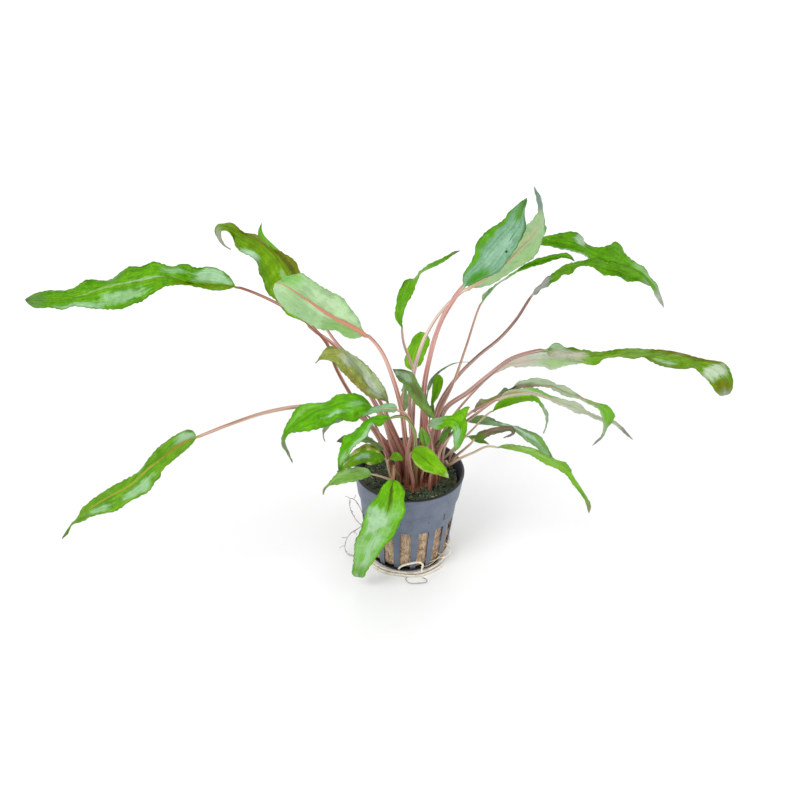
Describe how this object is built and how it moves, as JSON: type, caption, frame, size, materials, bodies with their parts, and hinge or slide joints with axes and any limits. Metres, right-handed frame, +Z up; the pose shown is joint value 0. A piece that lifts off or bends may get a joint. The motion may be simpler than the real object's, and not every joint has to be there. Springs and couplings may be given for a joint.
{
  "type": "potted cryptocoryne",
  "caption": "Potted cryptocoryne: an aquarium plant with long-stalked, wavy leaves, growing from a fibre plug in a slotted nursery pot that stands on its flat base.",
  "frame": {"origin": "middle of the pot's flat base, on the surface it stands on", "axes": "+Z up along the pot's axis, -Y towards the side the picture shows, +X to the right of that view"},
  "size_m": [0.3421, 0.1746, 0.193],
  "materials": {
    "pot": "slate grey moulded plastic, slightly rough",
    "plug": "brown mineral wool fibres, dark and mossy on top",
    "crown": "damp brown rootstock",
    "root": "cream, thin and slightly glossy",
    "bright_leaf": "bright green, glossy, with a pale midrib",
    "olive_leaf": "olive green, glossy",
    "pale_leaf": "pale green underside with a pink midrib",
    "mottled_leaf": "olive green mottled with grey and brown",
    "dull_leaf": "dull grey green",
    "scorched_leaf": "green with a brown scorched edge",
    "fresh_leaf": "fresh yellow green, glossy",
    "blue_leaf": "dull bluish green with greener margins",
    "purple_leaf": "greyish purple underside with green parts",
    "yellow_leaf": "light yellowish green"
  },
  "bodies": {
    "root": {"pot": "pot", "growing_plug": "plug", "crown": "crown", "leaf_far_left": "bright_leaf", "leaf_upper_left": "olive_leaf", "leaf_left_spike": "bright_leaf", "leaf_left_underside": "pale_leaf", "leaf_left_mottled": "mottled_leaf", "leaf_left_wide": "bright_leaf", "leaf_left_pale": "pale_leaf", "leaf_left_hook": "pale_leaf", "leaf_left_down": "bright_leaf", "leaf_left_edge": "dull_leaf", "leaf_left_scorched": "scorched_leaf", "leaf_left_low": "pale_leaf", "leaf_left_tiny": "bright_leaf", "leaf_far_left_low": "bright_leaf", "leaf_front_drooping": "fresh_leaf", "leaf_front_oval": "fresh_leaf", "leaf_centre_olive": "mottled_leaf", "leaf_centre_pale": "pale_leaf", "leaf_centre_young": "bright_leaf", "leaf_back_oval": "bright_leaf", "leaf_back_narrow": "bright_leaf", "leaf_centre_spoon": "bright_leaf", "leaf_centre_bud": "bright_leaf", "leaf_grassy": "dull_leaf", "leaf_right_hanging": "fresh_leaf", "leaf_right_dark": "bright_leaf", "leaf_right_brown": "scorched_leaf", "leaf_top_blue": "blue_leaf", "leaf_top_underside": "pale_leaf", "leaf_right_thin": "bright_leaf", "leaf_right_bright": "bright_leaf", "leaf_right_arching": "bright_leaf", "leaf_right_long": "bright_leaf", "leaf_right_pale": "pale_leaf", "leaf_right_hooked": "purple_leaf", "leaf_right_purple": "purple_leaf", "leaf_right_yellow": "yellow_leaf", "leaf_right_grey": "dull_leaf", "leaf_right_curled": "purple_leaf", "leaf_right_low": "yellow_leaf", "leaf_right_tiny": "bright_leaf", "root_base_inner": "root", "root_base_outer": "root", "root_front_loop": "root", "root_floor_thread": "root", "root_left_upper": "root", "root_left_lower": "root", "root_right": "root"}
  },
  "joints": []
}
